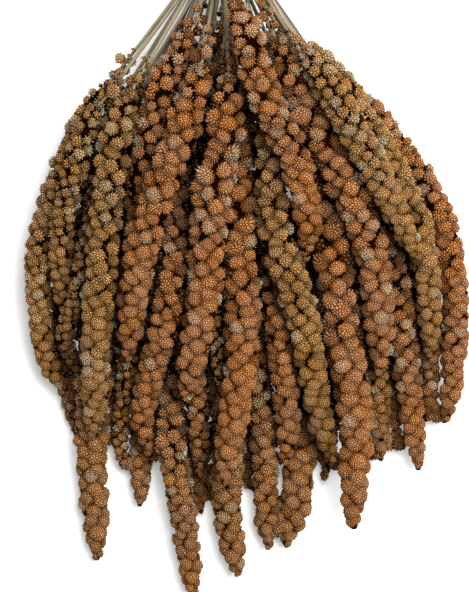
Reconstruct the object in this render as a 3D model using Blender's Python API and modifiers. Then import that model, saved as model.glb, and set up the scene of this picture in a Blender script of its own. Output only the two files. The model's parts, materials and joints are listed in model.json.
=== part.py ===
"""A bunch of foxtail millet: forty-one seed heads on their stems and one stripped twig, held by a tie.

The bunch lies on its back, tips towards -Y and cut stems towards +Y. Units are metres, +Z is up.
Each head with its stem is one solid. Its lobes stand for the clusters of grain, larger than life.
"""

from itertools import combinations

import bmesh
import bpy
import numpy as np
from mathutils import Vector

MM = 0.001
HEAD_STATIONS = 16
STEM_STATIONS = 6
STATIONS = STEM_STATIONS + HEAD_STATIONS
STEM_RADIUS = 1.3 * MM
TWIG_RADIUS = 1.3 * MM
GAP = 0.7 * MM
TIE = np.array([-5.0, 212.0, 27.5]) * MM
BUNDLE_PITCH = 3.15 * MM
FAN_WIDTH = 9 * MM
CUT_LENGTH = 78 * MM
CUT_DROP = 13 * MM
SHOULDER_STEP = 3 * MM
HOLLOW = 0.74
PRESSED = 1.3 * MM
SLENDER = 17
SHARP = np.radians(35)
TIE_TURNS = 4
TIE_WIDTH = 8.2 * MM
TIE_SIDES = 20
TIE_CLEARANCE = 0.35 * MM

# Each seed head: the layer of its shoulder and of its tip (0 lies on the table), greatest girth in
# mm, and the plan of its middle line from shoulder to tip, in mm.
HEADS = (
    # upper layers
    (3.0, 3.0, 24, ((-4, 132), (-3, 96), (-14, 50), (-24, -4), (-28, -60))),
    (4.2, 3.6, 22, ((-1, 176), (18, 134), (29, 92), (43, 51), (46, 18))),
    (3.4, 3.0, 24, ((28, 156), (46, 116), (64, 72), (79, 20), (87, -45))),
    (3.9, 4.8, 20, ((38, 146), (52, 130), (66, 110), (80, 84), (98, 58), (112, 24))),
    (3.4, 3.0, 23, ((-19, 138), (-28, 98), (-48, 65), (-62, 20), (-65, -36))),
    (3.2, 3.0, 21, ((-62, 124), (-68, 84), (-82, 36), (-82, -20), (-86, -82))),
    (2.6, 2.2, 18, ((-74, 128), (-102, 95), (-110, 45), (-104, -5), (-104, -57))),
    (3.2, 2.8, 17, ((-80, 116), (-95, 84), (-99, 42), (-101, -20))),
    (1.6, 3.5, 24, ((-8, 150), (-3, 112), (2, 70), (3, 20), (8, -30), (7, -60), (-7, -111))),
    (2.0, 3.0, 22, ((14, 138), (19, 110), (19, 84), (22, 50), (34, 7), (48, -46), (62, -98))),
    (2.2, 3.0, 26, ((38, 138), (47, 108), (49, 74), (60, 12), (67, -42), (73, -92), (71, -138))),
    (1.9, 2.0, 20, ((62, 128), (76, 104), (86, 76), (97, 20), (103, -32), (104, -72), (112, -104))),
    (2.0, 2.5, 20, ((46, 130), (76, 105), (100, 76), (119, 32), (128, -22), (128, -76))),
    (3.2, 3.0, 21, ((28, 150), (53, 126), (84, 98), (109, 56), (115, 2), (116, -34))),
    # middle layers
    (2.8, 2.2, 19, ((-24, 158), (-35, 136), (-47, 104), (-52, 60), (-55, 10), (-54, -40))),
    (2.2, 2.0, 21, ((-38, 142), (-37, 112), (-35, 80), (-41, 30), (-48, -26), (-46, -62), (-44, -93))),
    (1.6, 1.7, 17, ((-22, 122), (-26, 88), (-24, 44), (-29, -15), (-26, -66), (-19, -108))),
    (1.8, 2.4, 12, ((-3, 96), (-9, 60), (-12, 20), (-14, -20), (-9, -56))),
    (1.8, 1.9, 21, ((20, 112), (22, 66), (24, 0), (29, -52), (36, -80), (31, -101))),
    (1.9, 1.8, 18, ((82, 56), (88, -5), (91, -56), (88, -99))),
    (1.9, 1.8, 17, ((105, 70), (115, 20), (118, -30), (119, -75))),
    (1.9, 1.8, 15, ((-82, 92), (-87, 50), (-90, 0), (-91, -50))),
    # lower layers, whose tips show below the others
    (0.9, 0.9, 23, ((-80, 70), (-88, 5), (-91, -55), (-88, -106), (-83, -158))),
    (1.0, 1.0, 15, ((-62, 52), (-68, -8), (-69, -60), (-66, -104))),
    (1.0, 1.0, 19, ((-50, 44), (-57, -18), (-60, -75), (-57, -126))),
    (0.9, 0.9, 20, ((-26, 20), (-33, -40), (-31, -95), (-28, -140), (-25, -182))),
    (1.0, 1.0, 22, ((-12, 10), (-17, -56), (-15, -106), (-9, -135), (2, -168))),
    (1.0, 1.0, 20, ((6, 40), (11, -25), (18, -85), (22, -122), (21, -152))),
    (0.9, 0.9, 25, ((30, 30), (40, -35), (46, -90), (46, -120), (31, -150))),
    (1.0, 1.0, 14, ((52, 40), (54, -20), (54, -75), (52, -111))),
    (1.0, 1.0, 14, ((-95, 50), (-96, -5), (-95, -45), (-95, -85))),
    (1.0, 1.0, 15, ((104, 50), (107, -5), (107, -52))),
    # on the table
    (0.0, 0.0, 18, ((-72, 114), (-89, 72), (-93, 15), (-92, -36))),
    (0.0, 0.0, 20, ((-54, 122), (-69, 76), (-74, 16), (-75, -44))),
    (0.0, 0.0, 20, ((-37, 126), (-47, 78), (-50, 16), (-52, -40))),
    (0.0, 0.0, 20, ((-20, 126), (-24, 76), (-26, 8), (-25, -60), (-21, -130))),
    (0.0, 0.0, 20, ((-2, 132), (-1, 72), (0, 8), (4, -60), (8, -115))),
    (0.0, 0.0, 20, ((16, 130), (22, 76), (26, 8), (27, -50))),
    (0.0, 0.0, 20, ((36, 126), (46, 70), (51, 10), (53, -46))),
    (0.0, 0.0, 20, ((56, 120), (70, 66), (76, 6), (78, -50))),
    (0.0, 0.0, 18, ((76, 108), (91, 56), (97, 2), (98, -90))),
    # the stripped twig
    (4.4, 4.4, 2.6, ((22, 178), (26, 170), (30, 162), (36, 151), (41, 142))),
)


def rounded_path(points, count):
    """A Catmull-Rom curve through the points, at stations evenly spaced along it."""
    p = np.array(points, float)
    p = np.vstack([2 * p[0] - p[1], p, 2 * p[-1] - p[-2]])
    t = np.linspace(0, 1, 24, endpoint=False)[:, None]
    fine = []
    for a, b, c, d in zip(p, p[1:], p[2:], p[3:]):
        cubic = (3 * b - a - 3 * c + d) * t**3
        fine.append(0.5 * (2 * b + (c - a) * t + (2 * a - 5 * b + 4 * c - d) * t**2 + cubic))
    fine = np.vstack(fine + [p[-2:-1]])
    along = np.concatenate([[0], np.cumsum(np.linalg.norm(np.diff(fine, axis=0), axis=1))])
    wanted = np.linspace(0, along[-1], count)
    return np.stack([np.interp(wanted, along, fine[:, k]) for k in range(p.shape[1])], 1)


def girth_share(u):
    """Radius along a head as a share of its greatest: rounded shoulder, long taper, blunt tip."""
    shoulder = np.sqrt(np.clip(1 - (1 - np.minimum(u / 0.12, 1)) ** 2, 0, 1))
    taper = 1 - 0.35 * np.clip((u - 0.5) / 0.5, 0, 1) ** 1.6
    tip = np.sqrt(1 - np.clip((u - 0.93) / 0.07, 0, 1) ** 2)
    return np.clip(shoulder, 0.45, 1) * taper * np.clip(tip, 0.45, 1)


def girths():
    """Radius of each head and stem at its stations."""
    radius = np.full((len(HEADS), STATIONS), STEM_RADIUS)
    for i, head in enumerate(HEADS):
        radius[i, STEM_STATIONS:] = head[2] / 2 * MM * girth_share(np.linspace(0, 1, HEAD_STATIONS))
    radius[-1] = 0.7 * MM
    radius[-1, STEM_STATIONS:] = TWIG_RADIUS
    return radius


def start_height(layers, xy, u):
    """Height of a head's middle line before it settles: a mound, lower at its sides and tips."""
    shoulder = np.interp(layers[0], range(6), (11, 27, 43, 60, 74, 88))
    tip = np.interp(layers[1], range(6), (10, 13, 21, 38, 56, 70))
    middle = np.interp((layers[0] + layers[1]) / 2, range(6), (11, 27, 44, 62, 77, 90))
    late = middle + (tip - middle) * (u * 2 - 1)
    height = np.where(u < 0.5, shoulder + (middle - shoulder) * u * 2, late)
    return height * MM * (1 - 0.4 * (xy[:, 0] / 0.135) ** 2 * (layers[0] > 0.5))


def bundle_places(fans):
    """Places in the tied bundle: each stem on the side where its head lies, all pressed together.
    Two stems that would cross on their way to their heads then change places."""
    places = fans / np.abs(fans).max() * FAN_WIDTH
    for step in range(800):
        if step < 600:
            places = places * 0.985
        gap = places[:, None] - places[None]
        far = np.linalg.norm(gap, axis=2) + 1e-9
        push = np.clip(BUNDLE_PITCH - far, 0, None) / far * 0.4
        np.fill_diagonal(push, 0)
        places = places + (gap * push[..., None]).sum(1)
    for i, j in list(combinations(range(len(places)), 2)) * 4:
        if (places[i] - places[j]) @ (fans[i] - fans[j]) < 0:
            places[[i, j]] = places[[j, i]]
    return places


def closest(p0, p1, q0, q1):
    """Shares along the segments p and q of their closest points."""
    d1, d2, r = p1 - p0, q1 - q0, p0 - q0
    a, e, f = (d1 * d1).sum(1), (d2 * d2).sum(1), (d2 * r).sum(1)
    c, b = (d1 * r).sum(1), (d1 * d2).sum(1)
    den = a * e - b * b
    skew = den > 1e-14
    s = np.clip(np.where(skew, (b * f - c * e) / np.where(skew, den, 1), 0.5), 0, 1)
    t = np.clip((b * s + f) / e, 0, 1)
    return np.clip((b * t - c) / a, 0, 1), t


def set_stems(x, places):
    """Sets each stem straight from its shoulder to its place in the tie, and on to its cut end."""
    for i in range(len(x)):
        neck = TIE + [places[i, 0], 0, places[i, 1]]
        length = CUT_LENGTH * (1 - 0.16 * ((i * 0.618) % 1))
        drop = CUT_DROP / CUT_LENGTH * length
        x[i, 0] = neck + [places[i, 0] * 0.3, length, places[i, 1] * 0.3 - drop]
        x[i, 1] = neck + [0, 5 * MM, 0]
        x[i, 2] = neck + [0, -5 * MM, 0]
        shoulder = x[i, STEM_STATIONS]
        way = x[i, 2] - shoulder
        last = shoulder + way / np.linalg.norm(way) * SHOULDER_STEP
        for k in range(3, STEM_STATIONS):
            x[i, k] = x[i, 2] + (last - x[i, 2]) * (k - 2) / (STEM_STATIONS - 3)


def press(x, plan, radius, steps, free):
    """Moves the stations until no two heads or stems meet. Up to the share free of the steps, each
    is drawn to its plan and down, and kept from bending sharply."""
    n = len(x)
    hold = np.zeros((n, STATIONS, 1))
    for i, head in enumerate(HEADS):
        hold[i, STEM_STATIONS:] = 0.09
        hold[i, STEM_STATIONS - 1 : STEM_STATIONS + 1] = 0.2
    fixed = np.zeros((n, STATIONS), bool)
    fixed[:, :3] = True
    row = np.repeat(np.arange(n), STATIONS - 1)
    place = np.tile(np.arange(STATIONS - 1), n)
    first = row * STATIONS + place
    one, two = np.triu_indices(len(first), 1)
    keep = (row[one] != row[two]) & ~((place[one] < 2) & (place[two] < 2))
    one, two = one[keep], two[keep]
    r = radius.ravel()
    for step in range(steps):
        p = x.reshape(-1, 3)
        if step % 8 == 0:
            mid = (p[first] + p[first + 1]) / 2
            half = np.linalg.norm(p[first + 1] - p[first], axis=1) / 2
            half = half + np.maximum(r[first], r[first + 1]) + 1.5 * MM
            near = np.linalg.norm(mid[one] - mid[two], axis=1) < half[one] + half[two]
            a, b = first[one[near]], first[two[near]]
        s, t = closest(p[a], p[a + 1], p[b], p[b + 1])
        room = r[a] * (1 - s) + r[a + 1] * s + r[b] * (1 - t) + r[b + 1] * t + GAP
        s, t = s[:, None], t[:, None]
        gap = p[a] * (1 - s) + p[a + 1] * s - p[b] * (1 - t) - p[b + 1] * t
        far = np.linalg.norm(gap, axis=1)
        hit = far < room
        push = gap[hit] / np.maximum(far[hit], 1e-9)[:, None] * (room - far)[hit][:, None]
        s, t = s[hit], t[hit]
        moved, count = np.zeros_like(p), np.full((len(p), 1), 1e-9)
        parts = ((a[hit], 1 - s, 0.5), (a[hit] + 1, s, 0.5), (b[hit], 1 - t, -0.5), (b[hit] + 1, t, -0.5))
        for at, weight, side in parts:
            np.add.at(moved, at, push * weight * side)
            np.add.at(count, at, weight)
        shift = (moved / np.maximum(count, 1) ** 0.6 * 1.3).reshape(x.shape)
        along = x[:, 2:] - x[:, :-2]
        along = along / np.linalg.norm(along, axis=2, keepdims=True)
        bend = np.zeros_like(x)
        bend[:, 1:-1] = (x[:, :-2] + x[:, 2:]) / 2 - x[:, 1:-1]
        bend[:, 1:-1] -= along * (bend[:, 1:-1] * along).sum(2, keepdims=True)
        if step < steps * free:
            shift = shift + bend * 0.22 + (plan - x) * hold * (1, 1, 0.35)
            shift[:, STEM_STATIONS:, 2] -= 0.06 * MM
        else:
            shift = shift + bend * 0.03
        shift[fixed] = 0
        x = x + shift
        x[..., 2] = np.where(fixed, x[..., 2], np.maximum(x[..., 2], radius))
    return x


def settled():
    """Middle lines of all heads with their stems, as rows of stations from cut end to tip."""
    u = np.linspace(0, 1, HEAD_STATIONS)
    x = np.zeros((len(HEADS), STATIONS, 3))
    radius = girths()
    for i, head in enumerate(HEADS):
        line = rounded_path(np.array(head[3]) * MM, HEAD_STATIONS)
        x[i, STEM_STATIONS:, :2] = line
        x[i, STEM_STATIONS:, 2] = start_height(head, line, u)
    plan = None
    for steps, free in ((160, 0.9), (560, 0.5)):
        base = x[:, STEM_STATIONS]
        places = bundle_places((base - TIE)[:, [0, 2]] / np.abs((base - TIE)[:, 1:2]))
        set_stems(x, places)
        plan = x.copy() if plan is None else plan
        x = press(x, plan, radius, steps, free)
    return x, radius, places


def finish_mesh(obj, flat=False):
    """Welds an object's caps to its sides, splits its squares along their hollows, and cuts a head
    that lies lowest level with the table, which leaves it a few small flat spots to lie on."""
    bm = bmesh.new()
    bm.from_mesh(obj.data)
    bmesh.ops.remove_doubles(bm, verts=bm.verts, dist=0.001 * MM)
    bmesh.ops.triangulate(bm, faces=bm.faces, quad_method="SHORT_EDGE")
    if flat:
        everything = bm.verts[:] + bm.edges[:] + bm.faces[:]
        bmesh.ops.bisect_plane(bm, geom=everything, dist=0.002 * MM, plane_no=(0, 0, 1), clear_inner=True)
        rim = [edge for edge in bm.edges if edge.is_boundary]
        bmesh.ops.holes_fill(bm, edges=rim)
    bmesh.ops.recalc_face_normals(bm, faces=bm.faces)
    bm.to_mesh(obj.data)
    bm.free()
    obj.data.shade_smooth()
    obj.data.set_sharp_from_angle(angle=SHARP)


def rod(name, line, radius, sides, turn):
    """A rod along the line, as thick at each station as radius says, from a bevelled curve."""
    curve = bpy.data.curves.new(name, "CURVE")
    curve.dimensions = "3D"
    curve.bevel_depth = MM
    curve.bevel_resolution = sides // 2 - 2
    curve.use_fill_caps = True
    spline = curve.splines.new("POLY")
    spline.points.add(len(line) - 1)
    spline.points.foreach_set("co", np.hstack([line, np.ones((len(line), 1))]).ravel())
    spline.points.foreach_set("radius", radius / MM)
    spline.points.foreach_set("tilt", np.full(len(line), turn))
    guide = bpy.data.objects.new(name + "_guide", curve)
    bpy.context.scene.collection.objects.link(guide)
    evaluated = guide.evaluated_get(bpy.context.evaluated_depsgraph_get())
    mesh = bpy.data.meshes.new_from_object(evaluated)
    mesh.name = name
    bpy.data.objects.remove(guide)
    return bpy.data.objects.new(name, mesh)


def seed_head(name, line, radius, sides, turn, flat, grain, straw):
    """One head on its stem. Round the head, every second point of every ring is drawn in towards
    the middle line, by turns from ring to ring, so that a cluster stands out at each of the others."""
    obj = rod(name, line, radius, sides, turn)
    mesh = obj.data
    points = np.empty(len(mesh.vertices) * 3)
    mesh.vertices.foreach_get("co", points)
    points = points.reshape(-1, 3)
    for ring in range(STEM_STATIONS, STATIONS - 1):
        hollow = ring * sides + np.arange((ring + 1) % 2, sides, 2)
        points[hollow] = line[ring] + (points[hollow] - line[ring]) * HOLLOW
    mesh.vertices.foreach_set("co", points.ravel())
    mesh.materials.append(grain)
    mesh.materials.append(straw)
    for face in mesh.polygons:
        face.material_index = int(face.index < STEM_STATIONS * sides or face.center.y > TIE[1])
    finish_mesh(obj, flat)
    return obj


def bare_twig(name, line, radius, bark):
    """The stripped twig: a thin rod, swollen at the joints that its grains have fallen from."""
    stations = [*range(STEM_STATIONS), *range(STEM_STATIONS, STATIONS, 2)]
    size = radius[stations].copy()
    size[STEM_STATIONS::2] *= 0.5
    obj = rod(name, line[stations], size, 6, 0)
    obj.data.materials.append(bark)
    finish_mesh(obj)
    return obj


def twine_tie(name, inner, twine):
    """Turns of twine drawn tight round the stems: one turned ring, rounded over each turn."""
    pitch = TIE_WIDTH / TIE_TURNS
    outline = [(inner, -TIE_WIDTH / 2), (inner, TIE_WIDTH / 2)]
    for turn in range(TIE_TURNS):
        middle = TIE_WIDTH / 2 - pitch * (turn + 0.5)
        outline += [(inner + pitch * 0.55, middle + pitch * 0.45)]
        outline += [(inner + pitch, middle + pitch * 0.2), (inner + pitch, middle - pitch * 0.2)]
    outline.append((inner + pitch * 0.55, -TIE_WIDTH / 2))
    mesh = bpy.data.meshes.new(name)
    n = len(outline)
    mesh.from_pydata([(r, 0, z) for r, z in outline], [(j, (j + 1) % n) for j in range(n)], [])
    mesh.materials.append(twine)
    obj = bpy.data.objects.new(name, mesh)
    obj.location = TIE
    obj.rotation_euler = (np.pi / 2, 0, 0)
    turned = obj.modifiers.new("Turned round the stems", "SCREW")
    turned.steps = turned.render_steps = TIE_SIDES
    turned.use_merge_vertices = True
    turned.merge_threshold = 0.00001
    turned.use_smooth_shade = True
    turned.use_normal_calculate = True
    return obj


def finish(name, colour, roughness):
    material = bpy.data.materials.new(name)
    material.use_nodes = True
    shader = material.node_tree.nodes["Principled BSDF"]
    shader.inputs["Base Color"].default_value = (*colour, 1)
    shader.inputs["Roughness"].default_value = roughness
    shader.inputs["Metallic"].default_value = 0
    return material


def main():
    for obj in list(bpy.data.objects):
        bpy.data.objects.remove(obj)
    grain = finish("Ripe grain", (0.36, 0.15, 0.06), 0.75)
    straw = finish("Dry straw", (0.58, 0.42, 0.22), 0.6)
    bark = finish("Bare twig", (0.24, 0.18, 0.12), 0.8)
    twine = finish("Twine", (0.42, 0.29, 0.15), 0.9)
    lines, radius, places = settled()
    made = []
    for i, head in enumerate(HEADS[:-1]):
        line = lines[i].copy()
        lies_low = head[0] == 0
        if lies_low:
            line[STEM_STATIONS:, 2] -= PRESSED
        sides = 8 if lies_low or head[2] < SLENDER else 10
        made.append(seed_head(f"head_{i + 1:02d}", line, radius[i], sides, i * 2.4, lies_low, grain, straw))
    made.append(bare_twig("bare_twig", lines[-1], radius[-1], bark))
    inner = np.linalg.norm(places, axis=1).max() + STEM_RADIUS + TIE_CLEARANCE
    made.append(twine_tie("tie", inner, twine))
    bunch = bpy.data.collections.new("Millet bunch")
    bpy.context.scene.collection.children.link(bunch)
    origin = bpy.data.objects.new("millet_bunch", None)
    bunch.objects.link(origin)
    for obj in made:
        bunch.objects.link(obj)
        obj.parent = origin
    bpy.context.view_layer.update()
    corners = np.array([obj.matrix_world @ Vector(corner) for obj in made for corner in obj.bound_box])
    middle = (corners.min(0) + corners.max(0)) / 2
    origin.location = (-middle[0], -middle[1], 0)


main()
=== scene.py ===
"""The looks of a tied bunch of foxtail millet that lies on its back.

Each seed head is built of balls of grain set in a spiral round its stalk, with pale tufts and short
bristles. Every head keeps the middle line and the girth that its solid in the frame has, so the
lines are worked out here by the same rule. Units are metres, +Z is up.
"""

import json
from functools import cache
from itertools import combinations

import bmesh
import bpy
import numpy as np
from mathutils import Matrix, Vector
from mathutils.bvhtree import BVHTree


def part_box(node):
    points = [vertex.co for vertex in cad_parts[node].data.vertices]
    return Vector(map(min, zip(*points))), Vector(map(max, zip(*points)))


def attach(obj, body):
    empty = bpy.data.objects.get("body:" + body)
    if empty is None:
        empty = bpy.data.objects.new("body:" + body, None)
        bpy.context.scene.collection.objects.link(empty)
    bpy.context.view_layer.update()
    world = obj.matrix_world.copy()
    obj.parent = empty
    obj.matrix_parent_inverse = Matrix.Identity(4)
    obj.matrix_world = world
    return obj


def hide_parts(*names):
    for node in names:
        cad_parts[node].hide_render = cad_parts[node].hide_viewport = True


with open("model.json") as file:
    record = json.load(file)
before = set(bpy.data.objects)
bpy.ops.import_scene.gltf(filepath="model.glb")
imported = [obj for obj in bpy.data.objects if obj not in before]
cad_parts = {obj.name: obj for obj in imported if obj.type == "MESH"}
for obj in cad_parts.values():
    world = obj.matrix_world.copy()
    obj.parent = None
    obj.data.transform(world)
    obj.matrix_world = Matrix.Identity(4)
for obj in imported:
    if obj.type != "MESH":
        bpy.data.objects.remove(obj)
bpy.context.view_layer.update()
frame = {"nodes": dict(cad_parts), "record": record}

bl_info = {
    "name": "Tied Millet Bunch",
    "version": (1, 0, 0),
    "blender": (4, 5, 0),
    "location": "3D View > Sidebar > Millet",
    "description": "Dresses a tied bunch of foxtail millet in grain, straw and twine",
    "category": "Add Mesh",
}

# Stations along a head and along its stem, radii, the room kept between heads, and the tie: its middle,
# the distance between stems in it, and how the cut ends fan out, reach beyond it and drop. PRESSED is
# how much lower the heads on the table lie than their settled lines.
MM = 0.001
GOLDEN = np.pi * (3 - np.sqrt(5))
HEAD_STATIONS = 16
STEM_STATIONS = 6
STATIONS = STEM_STATIONS + HEAD_STATIONS
STEM_RADIUS = 1.3 * MM
TWIG_RADIUS = 1.3 * MM
GAP = 0.7 * MM
TIE = np.array([-5.0, 212.0, 27.5]) * MM
BUNDLE_PITCH = 3.15 * MM
FAN_WIDTH = 9 * MM
CUT_LENGTH = 78 * MM
CUT_DROP = 13 * MM
SHOULDER_STEP = 3 * MM
PRESSED = 1.3 * MM

# Balls of grain along a head: their radii as shares of its girth at these shares of the way along it,
# and how unevenly they are sized, turned, leaned and sunk.
BALL_STATIONS = 240
BALL_ALONG = (0, 0.6, 0.9, 1)
BALL_SHARES = (0.47, 0.45, 0.56, 0.85)
SMALLEST_BALL = 2.4 * MM
TOP_BALL = 0.7
TIP_BALL = 0.8
FIRST_BALL = 0.012
COVERAGE = 1.22
UNEVEN_LOSS = 0.7
SIZE_SPREAD = (-0.2, 0.16)
TURN_SPREAD = 0.18
LEAN = (-0.05, 0.35)
SINK = 0.98
SINK_SPREAD = 0.24

# The shape of one ball: how many grains it may have, the distances between grains at the shoulder, the
# middle and the tip of a head, and how rough its three kinds are. Those beyond SMOOTH_FROM are smooth.
BALL_COUNTS = (180, 135, 100, 74, 52, 36, 24)
GRAIN_PITCHES = (1.8 * MM, 1.7 * MM, 1.45 * MM)
GRAIN_JITTER = 0.3
GRAIN_HEIGHTS = (-0.07, 0.09)
GROOVE = 1.85
COARSE_GROOVE = 1.2
RIM_HEIGHT = 0.96
BACK_GRAINS = 14
LOBES = 5
SWELL = 0.17
SHRINK = 0.11
FEWEST_GRAINS = 12
ROUGHS = (0.55, 1.0, 1.0)
SMOOTH_FROM = 0.62
# The tone of balls that never show and of the stalk inside a head is painted shade: the dark gap colour,
# and for the stalk a dimmed light as well. EVEN_TONE has no painted shade.
HIDDEN_PAINTED_SHADE = -0.2
EVEN_TONE = (0.0, 0.5, 1.0, 0.0)
CORE_PAINTED_SHADE = (-0.5, 0.5, 0.1, 0.0)

# How well a ball shows, how much detail that gives it, and its painted light: balls are painted
# darker the less open they lie and towards a head's tip, with painted shade in the creases between
# balls and on stems under other heads.
RAYS = 48
ASIDE = ((0, 0, 1), (0.8, 0, 0.6), (-0.8, 0, 0.6), (0, 0.8, 0.6), (0, -0.8, 0.6))
SEEN_WELL = 0.3
SEEN_FROM_ABOVE = 0.15
PAINTED_DARK_SHARE = 0.07
PAINTED_LIT_SHARE = 0.55
BALL_LIGHTS = (0.74, 1)
PAINTED_TIP_LIGHT = 0.8
CREASE = 0.34
PAINTED_CREASE_LIGHTS = (0.25, 0.3, 0.65)
FACING_UP = 0.7
STRAY_FACING_UP = 2.0
PAINTED_STEM_SHADE = 0.25

# Stray balls on the stems, and balls that close the gaps between heads.
STRAYS = 8
STRAY_STEP = 3 * MM
STRAY_SIZE = 4.4 * MM
GAP_STEP = 0.8 * MM
GAP_SPAN = 130 * MM
GAP_REACH = (-150 * MM, 152 * MM)
CROWN_ROW = 125 * MM
CROWN_SPAN = 42 * MM
GAP_ROWS = (-100 * MM, -60 * MM)
GAP_WIDTHS = (3 * MM, 7.2 * MM)
GAP_BALL = 4.7 * MM

# Chaff, stalk and twine.
TUFT_ALONG = (0, 0.25, 0.6, 1)
TUFT_CHANCES = (2.8, 1.4, 0.8, 0.3)
SCALES_A_TUFT = 25
BRISTLES_A_BALL = 2
STALK_SHARE = 0.6
STALK_STATIONS = 26
STRAND_LAY = 4.6 * MM
TWINE_STATIONS = 70
KNOT = (
    (-7, -4.6, 0.3), (-3.5, -3, 1.9), (1.5, -1.5, 3.0), (3.4, 1.0, 3.1), (1.2, 3.0, 3.0),
    (-2.2, 1.6, 3.7), (-1.0, -2.2, 3.9), (3.4, -3.6, 2.6), (7.5, -5.2, 0.6),
)
TWINE_ENDS = (
    ((3.0, 0.8, 3.0), (7, 3.5, 3.2), (13, 6, 0), (17, 10, -6), (18, 15, -11)),
    ((-2.6, 1.2, 3.2), (-6, 4, 3.4), (-11, 8, 0.4), (-16, 9, -5), (-19, 13, -10)),
)

# Each seed head: the layer of its shoulder and of its tip (0 lies on the table), greatest girth in
# mm, and the plan of its middle line from shoulder to tip, in mm.
HEADS = (
    # upper layers
    (3.0, 3.0, 24, ((-4, 132), (-3, 96), (-14, 50), (-24, -4), (-28, -60))),
    (4.2, 3.6, 22, ((-1, 176), (18, 134), (29, 92), (43, 51), (46, 18))),
    (3.4, 3.0, 24, ((28, 156), (46, 116), (64, 72), (79, 20), (87, -45))),
    (3.9, 4.8, 20, ((38, 146), (52, 130), (66, 110), (80, 84), (98, 58), (112, 24))),
    (3.4, 3.0, 23, ((-19, 138), (-28, 98), (-48, 65), (-62, 20), (-65, -36))),
    (3.2, 3.0, 21, ((-62, 124), (-68, 84), (-82, 36), (-82, -20), (-86, -82))),
    (2.6, 2.2, 18, ((-74, 128), (-102, 95), (-110, 45), (-104, -5), (-104, -57))),
    (3.2, 2.8, 17, ((-80, 116), (-95, 84), (-99, 42), (-101, -20))),
    (1.6, 3.5, 24, ((-8, 150), (-3, 112), (2, 70), (3, 20), (8, -30), (7, -60), (-7, -111))),
    (2.0, 3.0, 22, ((14, 138), (19, 110), (19, 84), (22, 50), (34, 7), (48, -46), (62, -98))),
    (2.2, 3.0, 26, ((38, 138), (47, 108), (49, 74), (60, 12), (67, -42), (73, -92), (71, -138))),
    (1.9, 2.0, 20, ((62, 128), (76, 104), (86, 76), (97, 20), (103, -32), (104, -72), (112, -104))),
    (2.0, 2.5, 20, ((46, 130), (76, 105), (100, 76), (119, 32), (128, -22), (128, -76))),
    (3.2, 3.0, 21, ((28, 150), (53, 126), (84, 98), (109, 56), (115, 2), (116, -34))),
    # middle layers
    (2.8, 2.2, 19, ((-24, 158), (-35, 136), (-47, 104), (-52, 60), (-55, 10), (-54, -40))),
    (2.2, 2.0, 21, ((-38, 142), (-37, 112), (-35, 80), (-41, 30), (-48, -26), (-46, -62), (-44, -93))),
    (1.6, 1.7, 17, ((-22, 122), (-26, 88), (-24, 44), (-29, -15), (-26, -66), (-19, -108))),
    (1.8, 2.4, 12, ((-3, 96), (-9, 60), (-12, 20), (-14, -20), (-9, -56))),
    (1.8, 1.9, 21, ((20, 112), (22, 66), (24, 0), (29, -52), (36, -80), (31, -101))),
    (1.9, 1.8, 18, ((82, 56), (88, -5), (91, -56), (88, -99))),
    (1.9, 1.8, 17, ((105, 70), (115, 20), (118, -30), (119, -75))),
    (1.9, 1.8, 15, ((-82, 92), (-87, 50), (-90, 0), (-91, -50))),
    # lower layers, whose tips show below the others
    (0.9, 0.9, 23, ((-80, 70), (-88, 5), (-91, -55), (-88, -106), (-83, -158))),
    (1.0, 1.0, 15, ((-62, 52), (-68, -8), (-69, -60), (-66, -104))),
    (1.0, 1.0, 19, ((-50, 44), (-57, -18), (-60, -75), (-57, -126))),
    (0.9, 0.9, 20, ((-26, 20), (-33, -40), (-31, -95), (-28, -140), (-25, -182))),
    (1.0, 1.0, 22, ((-12, 10), (-17, -56), (-15, -106), (-9, -135), (2, -168))),
    (1.0, 1.0, 20, ((6, 40), (11, -25), (18, -85), (22, -122), (21, -152))),
    (0.9, 0.9, 25, ((30, 30), (40, -35), (46, -90), (46, -120), (31, -150))),
    (1.0, 1.0, 14, ((52, 40), (54, -20), (54, -75), (52, -111))),
    (1.0, 1.0, 14, ((-95, 50), (-96, -5), (-95, -45), (-95, -85))),
    (1.0, 1.0, 15, ((104, 50), (107, -5), (107, -52))),
    # on the table
    (0.0, 0.0, 18, ((-72, 114), (-89, 72), (-93, 15), (-92, -36))),
    (0.0, 0.0, 20, ((-54, 122), (-69, 76), (-74, 16), (-75, -44))),
    (0.0, 0.0, 20, ((-37, 126), (-47, 78), (-50, 16), (-52, -40))),
    (0.0, 0.0, 20, ((-20, 126), (-24, 76), (-26, 8), (-25, -60), (-21, -130))),
    (0.0, 0.0, 20, ((-2, 132), (-1, 72), (0, 8), (4, -60), (8, -115))),
    (0.0, 0.0, 20, ((16, 130), (22, 76), (26, 8), (27, -50))),
    (0.0, 0.0, 20, ((36, 126), (46, 70), (51, 10), (53, -46))),
    (0.0, 0.0, 20, ((56, 120), (70, 66), (76, 6), (78, -50))),
    (0.0, 0.0, 18, ((76, 108), (91, 56), (97, 2), (98, -90))),
    # the stripped twig
    (4.4, 4.4, 2.6, ((22, 178), (26, 170), (30, 162), (36, 151), (41, 142))),
)


def unit(vectors):
    """The vectors, each at length 1."""
    return vectors / np.linalg.norm(vectors, axis=-1, keepdims=True)


def reach_along(line):
    """Distance along the line at each of its stations: the running sum of the steps between them."""
    return np.concatenate([[0], np.cumsum(np.linalg.norm(np.diff(line, axis=0), axis=1))])


def turned(side, other, angle):
    """The direction at an angle from side towards other: cosine times side and sine times other."""
    return np.cos(angle) * side + np.sin(angle) * other


def carried_side(ahead, side):
    """A side direction at each station of a line: the last one with its share of the way ahead taken
    out, so that it turns as little as it can."""
    sides = np.empty_like(ahead)
    for k, direction in enumerate(ahead):
        side = unit(side - direction * (side @ direction))
        sides[k] = side
    return sides


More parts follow.
